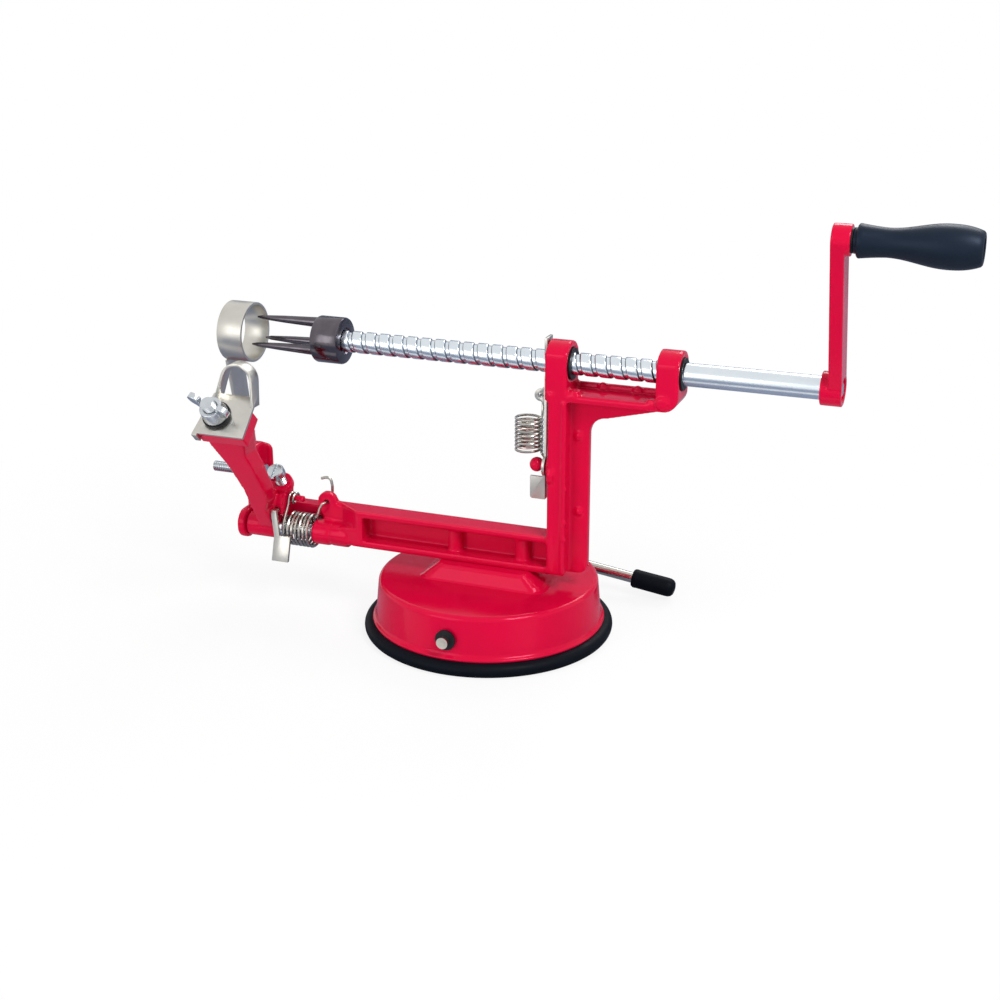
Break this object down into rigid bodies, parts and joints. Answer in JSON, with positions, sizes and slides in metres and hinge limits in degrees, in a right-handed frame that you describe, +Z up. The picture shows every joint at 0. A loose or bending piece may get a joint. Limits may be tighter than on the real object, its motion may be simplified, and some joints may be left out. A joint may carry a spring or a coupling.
{
  "type": "apple peeler",
  "caption": "Hand-cranked apple peeler on a suction base: threaded feed shaft with fork and crank, sprung peeling arm with a cutting hoop, and a fixed slicing and coring blade.",
  "frame": {"origin": "centre of the suction pad's underside, on the table", "axes": "+X along the feed shaft towards the crank, +Y to the back, +Z up"},
  "size_m": [0.2825, 0.1006, 0.1634],
  "materials": {
    "red_enamel": "glossy red enamel over die-cast and pressed metal",
    "shaft_chrome": "bright chrome plate",
    "fork_chrome": "dark chrome plate",
    "bright_zinc": "bright zinc plate",
    "satin_nickel": "satin nickel plate on sheet steel",
    "spring_wire": "bright drawn wire",
    "black_rubber": "matt moulded rubber",
    "black_nylon": "moulded nylon",
    "grip_plastic": "matt moulded plastic",
    "black_oxide": "black oxide on spring steel"
  },
  "bodies": {
    "frame": {"base_housing": "red_enamel", "suction_pad": "black_rubber", "frame_casting": "red_enamel", "frame_screws": "bright_zinc", "arm_pivot_pin": "bright_zinc", "slicer_blade": "satin_nickel", "slicer_bolt": "bright_zinc", "slicer_nut": "bright_zinc", "arm_washer": "bright_zinc", "arm_spring": "spring_wire", "release_spring": "spring_wire"},
    "bushes": {"shaft_bushes": "black_nylon"},
    "shaft": {"feed_shaft": "shaft_chrome", "apple_fork": "fork_chrome", "crank_arm": "red_enamel", "grip_spindle": "bright_zinc", "grip_washer": "black_oxide"},
    "grip": {"crank_grip": "grip_plastic"},
    "arm": {"peeler_arm": "red_enamel", "peeler_blade": "satin_nickel", "blade_bolt": "bright_zinc", "blade_washer": "black_nylon", "stop_screw": "bright_zinc", "thumb_plate": "satin_nickel"},
    "wing": {"wing_nut": "bright_zinc"},
    "release": {"release_plate": "satin_nickel"},
    "lever": {"suction_lever": "bright_zinc", "lever_tip": "black_rubber", "suction_cam": "bright_zinc", "lever_clip": "black_oxide"},
    "stem": {"suction_stem": "bright_zinc"}
  },
  "joints": [
    {"name": "crank_turn", "type": "hinge", "parent": "frame", "child": "bushes", "pos_m": [0, 0, 0.1041], "axis": [1, 0, 0], "range_deg": [-2880, 4320]},
    {"name": "shaft_feed", "type": "slide", "parent": "bushes", "child": "shaft", "axis": [1, 0, 0], "range_m": [-0.0432, 0.0648]},
    {"name": "grip_spin", "type": "hinge", "parent": "shaft", "child": "grip", "pos_m": [0, -0.017, 0.15641], "axis": [1, 0, 0], "continuous": true},
    {"name": "arm_swing", "type": "hinge", "parent": "frame", "child": "arm", "pos_m": [0, -0.0022, 0.0292], "axis": [1, 0, 0], "range_deg": [-16, 45], "stiffness_Nm_per_rad": 0.6, "deforming": ["arm_spring"]},
    {"name": "wing_turn", "type": "hinge", "parent": "arm", "child": "wing", "pos_m": [-0.0868, -0.039, 0.083], "axis": [0, -0.7071, 0.7071], "continuous": true},
    {"name": "release_lift", "type": "slide", "parent": "frame", "child": "release", "axis": [0, 0, 1], "range_m": [0, 0.0012], "stiffness_N_per_m": 400, "springref_m": -0.004, "deforming": ["release_spring"]},
    {"name": "suction_lever_turn", "type": "hinge", "parent": "frame", "child": "lever", "pos_m": [0, 0, 0.0124], "axis": [0, -1, 0], "range_deg": [0, 164.8]},
    {"name": "suction_lift", "type": "slide", "parent": "frame", "child": "stem", "axis": [0, 0, 1], "range_m": [0, 0.00347], "deforming": ["suction_pad"]}
  ],
  "couplings": [
    {"joint": "shaft_feed", "follows": "crank_turn", "m_per_rad": 0.00085943},
    {"joint": "suction_lift", "follows": "suction_lever_turn", "m_per_rad": 0.0012061}
  ]
}
